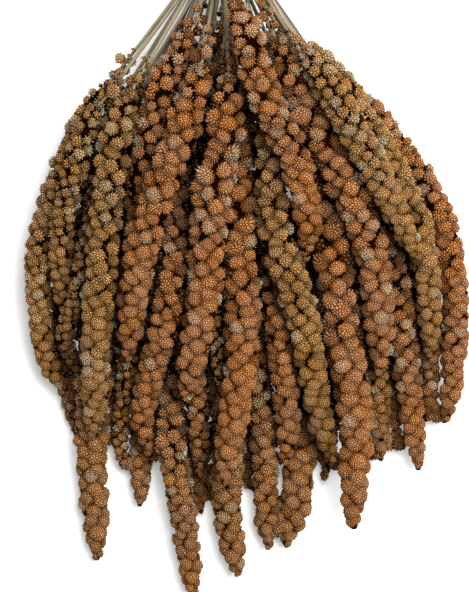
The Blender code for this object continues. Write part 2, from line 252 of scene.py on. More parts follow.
def spiral(count):
    """Points spread evenly over a unit sphere: heights at even steps, each a golden angle on."""
    k = np.arange(count) + 0.5
    z = 1 - 2 * k / count
    flat = np.sqrt(1 - z * z)
    return np.stack([flat * np.cos(k * GOLDEN), flat * np.sin(k * GOLDEN), z], 1)


def columns(rows):
    """Rows of like things as one array for each column."""
    return [np.array(column) for column in zip(*rows)]


def rounded_path(points, count):
    """A smooth curve through the points, at stations evenly spaced along it. Between two points it is
    a cubic whose slope at each is half the step from the point before to the point after."""
    p = np.array(points, float)
    p = np.vstack([2 * p[0] - p[1], p, 2 * p[-1] - p[-2]])
    t = np.linspace(0, 1, 24, endpoint=False)[:, None]
    fine = []
    for a, b, c, d in zip(p, p[1:], p[2:], p[3:]):
        cubic = (3 * b - a - 3 * c + d) * t**3
        fine.append(0.5 * (2 * b + (c - a) * t + (2 * a - 5 * b + 4 * c - d) * t**2 + cubic))
    fine = np.vstack(fine + [p[-2:-1]])
    along = reach_along(fine)
    wanted = np.linspace(0, along[-1], count)
    return np.stack([np.interp(wanted, along, fine[:, k]) for k in range(p.shape[1])], 1)


def girth_share(u):
    """Radius along a head as a share of its greatest: rounded shoulder, long taper, blunt tip."""
    shoulder = np.sqrt(np.clip(1 - (1 - np.minimum(u / 0.12, 1)) ** 2, 0, 1))
    taper = 1 - 0.35 * np.clip((u - 0.5) / 0.5, 0, 1) ** 1.6
    tip = np.sqrt(1 - np.clip((u - 0.93) / 0.07, 0, 1) ** 2)
    return np.clip(shoulder, 0.45, 1) * taper * np.clip(tip, 0.45, 1)


def girths():
    """Radius of each head and stem at its stations."""
    radius = np.full((len(HEADS), STATIONS), STEM_RADIUS)
    for i, head in enumerate(HEADS):
        radius[i, STEM_STATIONS:] = head[2] / 2 * MM * girth_share(np.linspace(0, 1, HEAD_STATIONS))
    radius[-1] = 0.7 * MM
    radius[-1, STEM_STATIONS:] = TWIG_RADIUS
    return radius


def start_height(layers, xy, u):
    """Height of a head's middle line before it settles: a mound, lower at its sides and tips."""
    shoulder = np.interp(layers[0], range(6), (11, 27, 43, 60, 74, 88))
    tip = np.interp(layers[1], range(6), (10, 13, 21, 38, 56, 70))
    middle = np.interp((layers[0] + layers[1]) / 2, range(6), (11, 27, 44, 62, 77, 90))
    late = middle + (tip - middle) * (u * 2 - 1)
    height = np.where(u < 0.5, shoulder + (middle - shoulder) * u * 2, late)
    return height * MM * (1 - 0.4 * (xy[:, 0] / 0.135) ** 2 * (layers[0] > 0.5))


def bundle_places(fans):
    """Places in the tied bundle: each stem on the side where its head lies, all pressed together.
    Two stems that would cross on their way to their heads then change places."""
    places = fans / np.abs(fans).max() * FAN_WIDTH
    for step in range(800):
        if step < 600:
            places = places * 0.985
        gap = places[:, None] - places[None]
        far = np.linalg.norm(gap, axis=2) + 1e-9
        push = np.clip(BUNDLE_PITCH - far, 0, None) / far * 0.4
        np.fill_diagonal(push, 0)
        places = places + (gap * push[..., None]).sum(1)
    for i, j in list(combinations(range(len(places)), 2)) * 4:
        if (places[i] - places[j]) @ (fans[i] - fans[j]) < 0:
            places[[i, j]] = places[[j, i]]
    return places


def closest(p0, p1, q0, q1):
    """Shares along the segments p and q of their closest points."""
    d1, d2, r = p1 - p0, q1 - q0, p0 - q0
    a, e, f = (d1 * d1).sum(1), (d2 * d2).sum(1), (d2 * r).sum(1)
    c, b = (d1 * r).sum(1), (d1 * d2).sum(1)
    den = a * e - b * b
    skew = den > 1e-14
    s = np.clip(np.where(skew, (b * f - c * e) / np.where(skew, den, 1), 0.5), 0, 1)
    t = np.clip((b * s + f) / e, 0, 1)
    return np.clip((b * t - c) / a, 0, 1), t


def set_stems(x, places):
    """Sets each stem straight from its shoulder to its place in the tie, and on to its cut end."""
    for i in range(len(x)):
        neck = TIE + [places[i, 0], 0, places[i, 1]]
        length = CUT_LENGTH * (1 - 0.16 * ((i * 0.618) % 1))
        drop = CUT_DROP / CUT_LENGTH * length
        x[i, 0] = neck + [places[i, 0] * 0.3, length, places[i, 1] * 0.3 - drop]
        x[i, 1] = neck + [0, 5 * MM, 0]
        x[i, 2] = neck + [0, -5 * MM, 0]
        shoulder = x[i, STEM_STATIONS]
        way = x[i, 2] - shoulder
        last = shoulder + way / np.linalg.norm(way) * SHOULDER_STEP
        for k in range(3, STEM_STATIONS):
            x[i, k] = x[i, 2] + (last - x[i, 2]) * (k - 2) / (STEM_STATIONS - 3)


def press(x, plan, radius, steps, free):
    """Moves the stations until no two heads or stems meet. Up to the share free of the steps, each
    is drawn to its plan and down, and kept from bending sharply."""
    n = len(x)
    hold = np.zeros((n, STATIONS, 1))
    hold[:, STEM_STATIONS:] = 0.09
    hold[:, STEM_STATIONS - 1 : STEM_STATIONS + 1] = 0.2
    fixed = np.zeros((n, STATIONS), bool)
    fixed[:, :3] = True
    row = np.repeat(np.arange(n), STATIONS - 1)
    place = np.tile(np.arange(STATIONS - 1), n)
    first = row * STATIONS + place
    one, two = np.triu_indices(len(first), 1)
    keep = (row[one] != row[two]) & ~((place[one] < 2) & (place[two] < 2))
    one, two = one[keep], two[keep]
    r = radius.ravel()
    for step in range(steps):
        p = x.reshape(-1, 3)
        if step % 8 == 0:
            mid = (p[first] + p[first + 1]) / 2
            half = np.linalg.norm(p[first + 1] - p[first], axis=1) / 2
            half = half + np.maximum(r[first], r[first + 1]) + 1.5 * MM
            near = np.linalg.norm(mid[one] - mid[two], axis=1) < half[one] + half[two]
            a, b = first[one[near]], first[two[near]]
        s, t = closest(p[a], p[a + 1], p[b], p[b + 1])
        room = r[a] * (1 - s) + r[a + 1] * s + r[b] * (1 - t) + r[b + 1] * t + GAP
        s, t = s[:, None], t[:, None]
        gap = p[a] * (1 - s) + p[a + 1] * s - p[b] * (1 - t) - p[b + 1] * t
        far = np.linalg.norm(gap, axis=1)
        hit = far < room
        push = gap[hit] / np.maximum(far[hit], 1e-9)[:, None] * (room - far)[hit][:, None]
        s, t = s[hit], t[hit]
        moved, count = np.zeros_like(p), np.full((len(p), 1), 1e-9)
        parts = ((a[hit], 1 - s, 0.5), (a[hit] + 1, s, 0.5), (b[hit], 1 - t, -0.5), (b[hit] + 1, t, -0.5))
        for at, weight, side in parts:
            np.add.at(moved, at, push * weight * side)
            np.add.at(count, at, weight)
        shift = (moved / np.maximum(count, 1) ** 0.6 * 1.3).reshape(x.shape)
        along = x[:, 2:] - x[:, :-2]
        along = along / np.linalg.norm(along, axis=2, keepdims=True)
        bend = np.zeros_like(x)
        bend[:, 1:-1] = (x[:, :-2] + x[:, 2:]) / 2 - x[:, 1:-1]
        bend[:, 1:-1] -= along * (bend[:, 1:-1] * along).sum(2, keepdims=True)
        if step < steps * free:
            shift = shift + bend * 0.22 + (plan - x) * hold * (1, 1, 0.35)
            shift[:, STEM_STATIONS:, 2] -= 0.06 * MM
        else:
            shift = shift + bend * 0.03
        shift[fixed] = 0
        x = x + shift
        x[..., 2] = np.where(fixed, x[..., 2], np.maximum(x[..., 2], radius))
    return x


def settled():
    """Middle lines of all heads with their stems, as rows of stations from cut end to tip."""
    u = np.linspace(0, 1, HEAD_STATIONS)
    x = np.zeros((len(HEADS), STATIONS, 3))
    radius = girths()
    for i, head in enumerate(HEADS):
        line = rounded_path(np.array(head[3]) * MM, HEAD_STATIONS)
        x[i, STEM_STATIONS:, :2] = line
        x[i, STEM_STATIONS:, 2] = start_height(head, line, u)
    plan = None
    for steps, free in ((160, 0.9), (560, 0.5)):
        base = x[:, STEM_STATIONS]
        places = bundle_places((base - TIE)[:, [0, 2]] / np.abs((base - TIE)[:, 1:2]))
        set_stems(x, places)
        plan = x.copy() if plan is None else plan
        x = press(x, plan, radius, steps, free)
    return x, radius


def along_head(line, radius, count):
    """Points, radii, directions and side directions at even steps along one head, and its length."""
    path = rounded_path(line, count)
    step = reach_along(line)
    girth = np.interp(np.linspace(0, 1, count), step / step[-1], radius)
    ahead = unit(np.gradient(path, axis=0))
    return path, girth, ahead, carried_side(ahead, np.array([1.0, 0.1, 0.2])), step[-1]


def ball_places(line, radius, draw):
    """Centres, outward directions, head directions, radii and shares of the way along of the balls of
    grain of one head. They climb the head in a golden-angle spiral. The step to the next one is the
    square of its radius over COVERAGE and the room round the head, so that they lie closer where the
    head is thinner. They are less even at its shoulder than at its tip, where they run together."""
    path, girth, ahead, side, length = along_head(line, radius, BALL_STATIONS)
    top = TOP_BALL * girth[BALL_STATIONS // 30]
    rows = [(path[0] + ahead[0] * top * 0.8, -ahead[0], side[0], top, 0.0)]
    reach, turn = FIRST_BALL * length, draw.uniform(0, 6)
    while reach < length:
        along = reach / length
        k = min(int(along * BALL_STATIONS), BALL_STATIONS - 1)
        uneven = 1 - UNEVEN_LOSS * along
        share = np.interp(along, BALL_ALONG, BALL_SHARES)
        size = max(share * girth[k], SMALLEST_BALL) * (1 + uneven * draw.uniform(*SIZE_SPREAD))
        size = min(size, girth[k] * 0.8 + 0.4 * MM)
        turn += GOLDEN + draw.normal(0, TURN_SPREAD)
        out = turned(side[k], np.cross(ahead[k], side[k]), turn)
        lean = draw.uniform(*LEAN)
        inward = size * (SINK + uneven * draw.uniform(-SINK_SPREAD, SINK_SPREAD))
        centre = path[k] + out * max(girth[k] - inward, 0.0)
        rows.append((centre, (out + ahead[k] * lean) / np.hypot(1, lean), ahead[k], size, along))
        reach += size**2 / (2 * COVERAGE * (1 + 0.5 * along) * max(girth[k] - size, 0.5 * size))
    tip = max(TIP_BALL * girth[-1], SMALLEST_BALL)
    rows.append((path[-1] - ahead[-1] * tip, ahead[-1], side[-1], tip, 1.0))
    return columns(rows)


def stray_balls(stem, draw):
    """Balls of grain on the stem just above the shoulder, smaller further up, in a golden-angle
    spiral round it. They come as ball_places gives them."""
    rows = []
    rise = unit(stem[1] - stem[0])
    side = unit(np.cross(rise, (0.2, 0.3, 0.9)))
    for k in range(STRAYS):
        up = (k + draw.uniform(0.2, 0.8)) * STRAY_STEP
        size = draw.uniform(0.75, 1.25) * STRAY_SIZE * (1 - 0.45 * k / STRAYS)
        out = turned(side, np.cross(rise, side), k * GOLDEN + draw.normal(0, 0.3))
        rows.append((stem[0] + rise * up + out * size * 0.75, out, -rise, size, 0.0))
    return columns(rows)


def seen_from_outside(search, own, balls):
    """How well each ball of one head shows: the share of the directions round it that leave the bunch
    unhindered, and whether anything of it shows from straight above. The head itself never hinders."""
    tree, owners = search
    centre, out, _, size, along = balls
    rays = spiral(RAYS)

    def leaves(point, way):
        """Whether the ray from the point meets nothing but the head itself."""
        start, way = Vector(point), Vector(way)
        for _ in range(12):
            place, _, index, _ = tree.ray_cast(start, way)
            if place is None:
                return True
            if owners[index] != own:
                return False
            start = place + way * 0.01 * MM
        return False

    share = np.zeros(len(size))
    above = np.zeros(len(size), bool)
    for i, middle in enumerate(centre):
        open_rays = rays[rays @ out[i] > 0.05]
        share[i] = np.mean([leaves(middle + out[i] * size[i], ray) for ray in open_rays])
        if out[i][2] > -0.35 or along[i] == 0 or along[i] > 0.9:
            above[i] = any(leaves(middle + way * size[i] * 0.85, (0, 0, 1)) for way in np.array(ASIDE))
    return share, above


def sphere_faces(points):
    """Triangles of the convex hull of points on a sphere, turned so that their normals look out."""
    mesh = bpy.data.meshes.new("Grain points")
    mesh.vertices.add(len(points))
    mesh.vertices.foreach_set("co", points.ravel())
    bm = bmesh.new()
    bm.from_mesh(mesh)
    bmesh.ops.convex_hull(bm, input=bm.verts)
    bm.to_mesh(mesh)
    bm.free()
    faces = np.empty(len(mesh.loops), np.int32)
    mesh.loops.foreach_get("vertex_index", faces)
    faces = faces.astype(int).reshape(-1, 3)
    bpy.data.meshes.remove(mesh)
    a, b, c = points[faces].transpose(1, 0, 2)
    facing = np.einsum("ij,ij->i", np.cross(b - a, c - a), a + b + c)
    faces[facing < 0] = faces[facing < 0][:, ::-1]
    return faces


def across_edges(faces):
    """The two ends of each edge of each face, the face that it is of, and the face across it, which
    holds the same edge the other way round."""
    start, end = faces.ravel(), np.roll(faces, -1, axis=1).ravel()
    code, back = start * (faces.max() + 1) + end, end * (faces.max() + 1) + start
    order = np.argsort(code)
    return start, end, np.arange(len(start)) // 3, order[np.searchsorted(code[order], back)] // 3


def grain_ball(count, front_edge, groove, rough, draw):
    """A unit ball of grains, fine on the side that shows and coarse behind. Its grains are points of
    a golden-angle spiral on the sphere, each pushed out by its own height. Between three grains lies a
    point at 1 less the groove's depth, and faces run from each edge to the points on both its sides,
    so that grooves run round every grain. Returns points, faces, the height mask and which points
    are in a groove. The mask carries painted shade: 0 in the grooves, lower on grains towards the
    ball's rim where it meets other balls, and the hidden value all over a ball without grooves."""
    points = spiral(count)
    points += draw.normal(0, GRAIN_JITTER / np.sqrt(count), points.shape)
    points = unit(points)
    lobes = unit(draw.normal(0, 1, (LOBES, 3)))
    front = points[:, 2] > front_edge
    keep = front | (np.arange(count) % max(count // BACK_GRAINS, 1) == 0)
    points, front = points[keep], front[keep]
    faces = sphere_faces(points)
    if not groove:
        # A ball that never shows is painted all over in the dark gap shade.
        return points, faces, np.full(len(points), HIDDEN_PAINTED_SHADE), np.zeros(len(points), bool)
    grooved = front[faces].all(1)
    middle = unit(points[faces[grooved]].mean(1)) * (1 - groove)
    place = np.full(len(faces), -1)
    place[grooved] = len(points) + np.arange(grooved.sum())
    start, end, face, beyond = across_edges(faces)
    third = np.where(place[beyond] >= 0, place[beyond], end)
    made = np.vstack([faces[~grooved], np.stack([start, third, place[face]], 1)[place[face] >= 0]])
    heights = 1 + rough * draw.uniform(*GRAIN_HEIGHTS, len(points))
    heights[faces[~grooved]] = RIM_HEIGHT * (1 - groove)
    points = np.vstack([points * heights[:, None], middle])
    swell = SWELL * (np.clip(points @ lobes.T, 0, 1) ** 3).sum(1, keepdims=True) - SHRINK
    points = points * (1 + rough * swell)
    # Painted shade: grains are painted darker towards the ball's rim, and the coarse back and the groove
    # points take the dark gap colour.
    painted_rim_light = np.clip((points[: len(heights), 2] - front_edge) / 0.85, 0, 1) ** 0.8 * 1.1 - 0.1
    painted_rim_light[heights < 1 - groove] = -0.1
    height_and_painted_shade = np.concatenate([painted_rim_light, np.zeros(len(middle))])
    return points, made, height_and_painted_shade, np.arange(len(points)) >= len(heights)


def ball_library(draw):
    """Balls of each size at four levels of detail."""
    library = {}
    for count in BALL_COUNTS:
        groove = GROOVE / np.sqrt(count)
        fine = [grain_ball(count, -0.03, groove * rough, rough, draw) for rough in ROUGHS]
        library["fine", count] = fine
        for level, share in (("middling", 0.33), ("coarse", 0.18)):
            fewer = max(int(count * share), FEWEST_GRAINS)
            groove = COARSE_GROOVE / np.sqrt(fewer)
            plainer = [grain_ball(fewer, -0.1, groove, rough, draw) for rough in ROUGHS[:2]]
            library[level, count] = plainer
        library["hidden", count] = [grain_ball(FEWEST_GRAINS, 0.0, 0, 1, draw)]
    return library


def painted_crease_light(points, own, centre, loom):
    """How far points on balls stand clear of the other balls: 0 where another ball touches or covers
    the point, 1 from CREASE of a ball's radius away. The distance to ball j is |p - c_j| - r_j, and
    loom holds the radii r_j, made a little uneven so that some balls seem to lie over others. It is the
    painted shade of the creases between balls: it darkens their colour."""
    squares = (points**2).sum(2)[..., None] + (centre**2).sum(1) - 2 * points @ centre.T
    clear = np.sqrt(np.maximum(squares, 0)) - loom
    clear[np.arange(len(own)), :, own] = np.inf
    return np.clip(clear.min(2) / (CREASE * loom[own][:, None]), 0, 1)


def set_balls(library, places, detail, light, draw, tufts):
    """Copies of the library's balls at their places: points, faces, tone and groove marks. Each ball is
    turned by its spin, faces along its outward direction and is stretched by its radius. Tone holds
    height on the grain with the painted shade of the ball's grooves and rim, a draw for each grain, the
    painted light of the ball, which is painted shade where it lies deep and in the creases next to
    other balls, and how tufted it is."""
    centre, out, ahead, size, along = places
    across = unit(np.cross(out, ahead))
    third = np.cross(out, across)
    pitch = np.interp(along, (0, 0.5, 1), GRAIN_PITCHES)
    wanted = 4 * np.pi * size**2 / (0.866 * pitch**2)
    counts = np.array(BALL_COUNTS)
    nearest = counts[np.abs(np.log(wanted[:, None] / counts)).argmin(1)]
    kind = np.where(along > SMOOTH_FROM, 0, draw.choice((1, 5), len(size)))
    spin = draw.uniform(0, 2 * np.pi, len(size))
    loom = size * draw.uniform(0.96, 1.14, len(size))
    out_points, out_faces, out_tone, out_groove = [], [], [], []
    base = 0
    for (level, count), shapes in library.items():
        for s, (points, faces, height_and_painted_shade, groove) in enumerate(shapes):
            pick = np.flatnonzero((detail == level) & (nearest == count) & (kind % len(shapes) == s))
            if not len(pick):
                continue
            angle = spin[pick][:, None]
            one = turned(across[pick], third[pick], angle)
            two = turned(third[pick], -across[pick], angle)
            wide, deep = draw.uniform(0.94, 1.2, (2, len(pick), 1))
            axes = np.stack([one * wide, two * deep, out[pick]], 1) * size[pick][:, None, None]
            placed = np.einsum("tj,njk->ntk", points, axes) + centre[pick][:, None]
            n, t = len(pick), len(points)
            tone = np.empty((n, t, 4))
            tone[..., 0] = height_and_painted_shade
            tone[..., 1] = draw.uniform(0, 1, (n, t))
            tone[..., 2] = light[pick][:, None]
            if level in ("fine", "middling"):
                # Painted shade in the creases: grains close to other balls are darkened, most of all at
                # the shoulder.
                least = np.interp(along[pick], (0, 0.5, 1), PAINTED_CREASE_LIGHTS)[:, None]
                tone[..., 2] *= least + (1 - least) * painted_crease_light(placed, pick, centre, loom)
            near_pole = np.clip((points[:, 2] - 0.55) / 0.3, 0, 1)
            tone[..., 3] = tufts[pick][:, None] * near_pole * draw.uniform(0.4, 1, (n, t))
            out_points.append(placed.reshape(-1, 3))
            out_faces.append((faces[None] + base + np.arange(n)[:, None, None] * t).reshape(-1, 3))
            out_tone.append(tone.reshape(-1, 4))
            out_groove.append(np.tile(groove, n))
            base += n * t
    return [np.concatenate(p) for p in (out_points, out_faces, out_tone, out_groove)]


def rings_of_three(ways, widths):
    """Three points round each direction, a third of a turn apart and a width away from it."""
    side = unit(np.cross(ways, [0.31, 0.47, 0.83]))
    angles = np.arange(3)[:, None] * 2 * np.pi / 3
    return turned(side[:, None], np.cross(ways, side)[:, None], angles) * widths[:, None, None]


def repeated(cell, count, points):
    """The faces of cell for each of count like shapes that have this many points each."""
    return (np.array(cell)[None] + np.arange(count)[:, None, None] * points).reshape(-1, 3)


def spikes(roots, ways, lengths, widths, bow):
    """Closed slender spikes of three sides: a root triangle and a tip, bent a little by bow."""
    ways = unit(ways)
    tip = roots + (ways + bow) * lengths[:, None]
    points = np.concatenate([roots[:, None] + rings_of_three(ways, widths), tip[:, None]], 1)
    faces = repeated([(0, 2, 1), (0, 1, 3), (1, 2, 3), (2, 0, 3)], len(roots), 4)
    return points.reshape(-1, 3), faces


def scales(roots, ways, lengths, widths):
    """Closed husk scales, pointed at both ends and widest two fifths of the way up: two three-sided
    pyramids set base to base."""
    ways = unit(ways)
    rise = ways * lengths[:, None]
    belt = (roots + rise * 0.4)[:, None] + rings_of_three(ways, widths)
    points = np.concatenate([belt, roots[:, None], (roots + rise)[:, None]], 1)
    cell = [(0, 1, 4), (1, 2, 4), (2, 0, 4), (1, 0, 3), (2, 1, 3), (0, 2, 3)]
    return points.reshape(-1, 3), repeated(cell, len(roots), 5)


def tube(line, radius, sides, ridge=0.0, ridges=5, twist=0.0):
    """A closed tube along the line: a ring of sides points at each station, whose radius may rise and
    fall round it in ridges that wind by twist radians a metre. Returns points, faces and fibre,
    which holds the cosine and sine round the tube and the distance along it."""
    ahead = unit(np.gradient(line, axis=0))
    side = carried_side(ahead, np.array([0.93, 0.12, 0.34]))
    reach = reach_along(line)
    angle = np.arange(sides) * 2 * np.pi / sides
    wave = 1 + ridge * np.cos(ridges * (angle[None] - twist * reach[:, None]))
    round_line = turned(side[:, None], np.cross(ahead, side)[:, None], angle[:, None])
    points = line[:, None] + (radius[:, None] * wave)[..., None] * round_line
    n, j = len(line), np.arange(sides)
    after = (j + 1) % sides
    low = np.arange(n - 1)[:, None] * sides
    a, b = low + j, low + after
    halves = ((a, b, b + sides), (a, b + sides, a + sides))
    walls = [np.stack(corners, 2).reshape(-1, 3) for corners in halves]
    first, final, last = n * sides, n * sides + 1, (n - 1) * sides
    start = np.stack([np.full(sides, first), after, j], 1)
    close = np.stack([np.full(sides, final), last + j, last + after], 1)
    fibre = np.stack(np.broadcast_arrays(np.cos(angle), np.sin(angle), reach[:, None]), 2).reshape(-1, 3)
    caps = [[0, 0, reach[0]], [0, 0, reach[-1]]]
    points = np.vstack([points.reshape(-1, 3), line[:1], line[-1:]])
    return points, np.vstack([*walls, start, close]), np.vstack([fibre, caps])


def piece(name, parts, materials):
    """One mesh object from parts, each a dict of points, faces and, where it has them, tone, fibre,
    groove and slot. No point goes below the floor. Edges along grooves are sharp, all else is smooth."""
    base, points, faces, tone, fibre, groove, slots = 0, [], [], [], [], [], []
    for part in parts:
        n = len(part["points"])
        points.append(part["points"])
        faces.append(part["faces"] + base)
        tone.append(part.get("tone", np.tile(EVEN_TONE, (n, 1))))
        fibre.append(part.get("fibre", np.zeros((n, 3))))
        groove.append(part.get("groove", np.zeros(n, bool)))
        slots.append(np.full(len(part["faces"]), part.get("slot", 0)))
        base += n
    points, faces = np.concatenate(points), np.concatenate(faces)
    points[:, 2] = np.maximum(points[:, 2], 0.0)
    mesh = bpy.data.meshes.new(name)
    mesh.vertices.add(len(points))
    mesh.vertices.foreach_set("co", points.ravel())
    mesh.loops.add(faces.size)
    mesh.loops.foreach_set("vertex_index", faces.ravel().astype(np.int32))
    mesh.polygons.add(len(faces))
    mesh.polygons.foreach_set("loop_start", np.arange(0, faces.size, 3, dtype=np.int32))
    for material in materials:
        mesh.materials.append(material)
    mesh.polygons.foreach_set("material_index", np.concatenate(slots).astype(np.int32))
    mesh.update(calc_edges=True)
    tones = mesh.attributes.new("tone", "FLOAT_COLOR", "POINT")
    tones.data.foreach_set("color", np.concatenate(tone).ravel())
    fibres = mesh.attributes.new("fibre", "FLOAT_VECTOR", "POINT")
    fibres.data.foreach_set("vector", np.concatenate(fibre).ravel())
    ends = np.empty(len(mesh.edges) * 2, np.int32)
    mesh.edges.foreach_get("vertices", ends)
    marks = np.concatenate(groove)[ends.reshape(-1, 2)].all(1)
    mesh.attributes.new("sharp_edge", "BOOLEAN", "EDGE").data.foreach_set("value", marks)
    obj = bpy.data.objects.new(name, mesh)
    bpy.context.scene.collection.objects.link(obj)
    return obj


def new_group(name, inputs, outputs):
    """An empty shader node group with these named inputs and outputs."""
    group = bpy.data.node_groups.new(name, "ShaderNodeTree")
    for label, kind, value in inputs:
        socket = group.interface.new_socket(label, in_out="INPUT", socket_type=kind)
        socket.default_value = value
    for label, kind in outputs:
        group.interface.new_socket(label, in_out="OUTPUT", socket_type=kind)
    return group, group.nodes.new("NodeGroupInput"), group.nodes.new("NodeGroupOutput")


def node(tree, kind, links=(), **values):
    """A node with its settings; links pairs an input of it with the socket or the value that it takes."""
    made = tree.nodes.new(kind)
    for key, value in values.items():
        setattr(made, key, value)
    for label, source in links:
        if isinstance(source, bpy.types.NodeSocket):
            tree.links.new(source, made.inputs[label])
        else:
            made.inputs[label].default_value = source
    return made


def ramp_between(tree, value, low, high):
    """A smooth step of value from low to high."""
    made = node(tree, "ShaderNodeMapRange", [("Value", value), ("From Min", low), ("From Max", high)])
    made.interpolation_type = "SMOOTHSTEP"
    return made.outputs["Result"]


def mixed(tree, share, one, two):
    """A colour that goes from one to two by its share."""
    made = node(tree, "ShaderNodeMix", [(0, share), (6, one), (7, two)], data_type="RGBA")
    return made.outputs[2]


def maths(tree, operation, one, two=0.0, clamp=False):
    """The result of one maths node."""
    made = node(tree, "ShaderNodeMath", [(0, one), (1, two)], operation=operation, use_clamp=clamp)
    return made.outputs[0]


def scaled(tree, value, times, plus):
    """A value times one number, plus another."""
    return maths(tree, "ADD", maths(tree, "MULTIPLY", value, times), plus)


def noise(tree, vector, scale, detail):
    """Cloudy noise from 0 to 1."""
    links = [("Vector", vector), ("Scale", scale), ("Detail", detail)]
    return node(tree, "ShaderNodeTexNoise", links).outputs[0]


@cache
def grain_group():
    """Colours a ball of grain from its tone: painted shade in the grooves and towards each ball's rim,
    ripe on each grain's flank, pale on the husk at its top, and mint-grey where it is tufted. The whole
    is dimmed by the ball's painted light."""
    group, given, made = new_group(
        "Grain And Husk",
        [
            ("Tone", "NodeSocketColor", (0, 0, 0, 1)),
            ("Tuft", "NodeSocketFloat", 0.0),
            ("Ripe Colour", "NodeSocketColor", (0.4, 0.14, 0.04, 1)),
            ("Husk Colour", "NodeSocketColor", (0.6, 0.4, 0.24, 1)),
            ("Painted Gap Shade", "NodeSocketColor", (0.01, 0.005, 0.003, 1)),
            ("Tuft Colour", "NodeSocketColor", (0.5, 0.48, 0.36, 1)),
            ("Husk Share", "NodeSocketFloat", 0.6),
        ],
        [
            ("Colour", "NodeSocketColor"),
            ("Roughness", "NodeSocketFloat"),
            ("Height", "NodeSocketFloat"),
            ("Shine", "NodeSocketFloat"),
        ],
    )
    ask, give = given.outputs, made.inputs
    parts = node(group, "ShaderNodeSeparateColor", [("Color", ask["Tone"])])
    height, grain, painted_light = parts.outputs[0], parts.outputs[1], parts.outputs[2]
    place = node(group, "ShaderNodeTexCoord").outputs["Object"]
    patch = noise(group, place, 45.0, 2.0)
    ripe = node(group, "ShaderNodeHueSaturation", [
        ("Hue", scaled(group, grain, 0.02, 0.49)),
        ("Saturation", scaled(group, patch, -0.5, 1.23)),
        ("Value", scaled(group, grain, 0.5, 0.75)),
        ("Color", ask["Ripe Colour"]),
    ]).outputs[0]
    share = maths(group, "MULTIPLY", ramp_between(group, height, 0.12, 0.78), ask["Husk Share"])
    share = maths(group, "MULTIPLY", share, scaled(group, grain, 1.1, 0.35), clamp=True)
    top = mixed(group, share, ripe, ask["Husk Colour"])
    # Painted shade: the grooves, the rims of the balls and all that is hidden take the dark gap colour.
    body = mixed(group, ramp_between(group, height, -0.08, 0.34), ask["Painted Gap Shade"], top)
    tufted = maths(group, "MULTIPLY", ask["Tuft"], ramp_between(group, height, 0.1, 0.7))
    body = mixed(group, tufted, body, ask["Tuft Colour"])
    # Painted light and shade: the colour is dimmed by the ball's painted light.
    dimmed = [("Value", scaled(group, painted_light, 0.88, 0.17)), ("Color", body)]
    group.links.new(node(group, "ShaderNodeHueSaturation", dimmed).outputs[0], give["Colour"])
    shine = maths(group, "MULTIPLY", ramp_between(group, height, 0.3, 0.9), 0.3)
    group.links.new(shine, give["Shine"])
    group.links.new(scaled(group, grain, 0.25, 0.5), give["Roughness"])
    fine = maths(group, "MULTIPLY", noise(group, place, 1400.0, 3.0), 0.25)
    lift = scaled(group, ramp_between(group, height, 0.0, 0.8), 0.8, fine)
    group.links.new(lift, give["Height"])
    return group


@cache
def fibre_group():
    """Colours straw, bark or twine by its fibre: streaks that run its length, and blotches, dimmed by its
    painted light, which is painted shade on stems under other heads.
    """
    group, given, made = new_group(
        "Dry Fibre",
        [
            ("Fibre", "NodeSocketVector", (0, 0, 0)),
            ("Colour", "NodeSocketColor", (0.5, 0.4, 0.2, 1)),
            ("Dark Colour", "NodeSocketColor", (0.2, 0.12, 0.05, 1)),
            ("Blotch Colour", "NodeSocketColor", (0.2, 0.2, 0.1, 1)),
            ("Streaks", "NodeSocketFloat", 0.5),
            ("Light", "NodeSocketFloat", 1.0),
        ],
        [
            ("Colour", "NodeSocketColor"),
            ("Roughness", "NodeSocketFloat"),
            ("Height", "NodeSocketFloat"),
        ],
    )
    ask, give = given.outputs, made.inputs
    stretched = [("Vector", ask["Fibre"]), ("Scale", (2.2, 2.2, 18.0))]
    streak = noise(group, node(group, "ShaderNodeMapping", stretched).outputs[0], 2.5, 4.0)
    patch = noise(group, node(group, "ShaderNodeTexCoord").outputs["Object"], 60.0, 2.0)
    dark = maths(group, "MULTIPLY", ramp_between(group, streak, 0.45, 0.72), ask["Streaks"])
    colour = mixed(group, dark, ask["Colour"], ask["Dark Colour"])
    colour = mixed(group, ramp_between(group, patch, 0.5, 0.75), colour, ask["Blotch Colour"])
    # Painted shade: the colour is dimmed by the painted light from the tone.
    dimmed = node(group, "ShaderNodeHueSaturation", [("Value", ask["Light"]), ("Color", colour)])
    group.links.new(dimmed.outputs[0], give["Colour"])
    group.links.new(scaled(group, streak, 0.3, 0.4), give["Roughness"])
    group.links.new(streak, give["Height"])
    return group


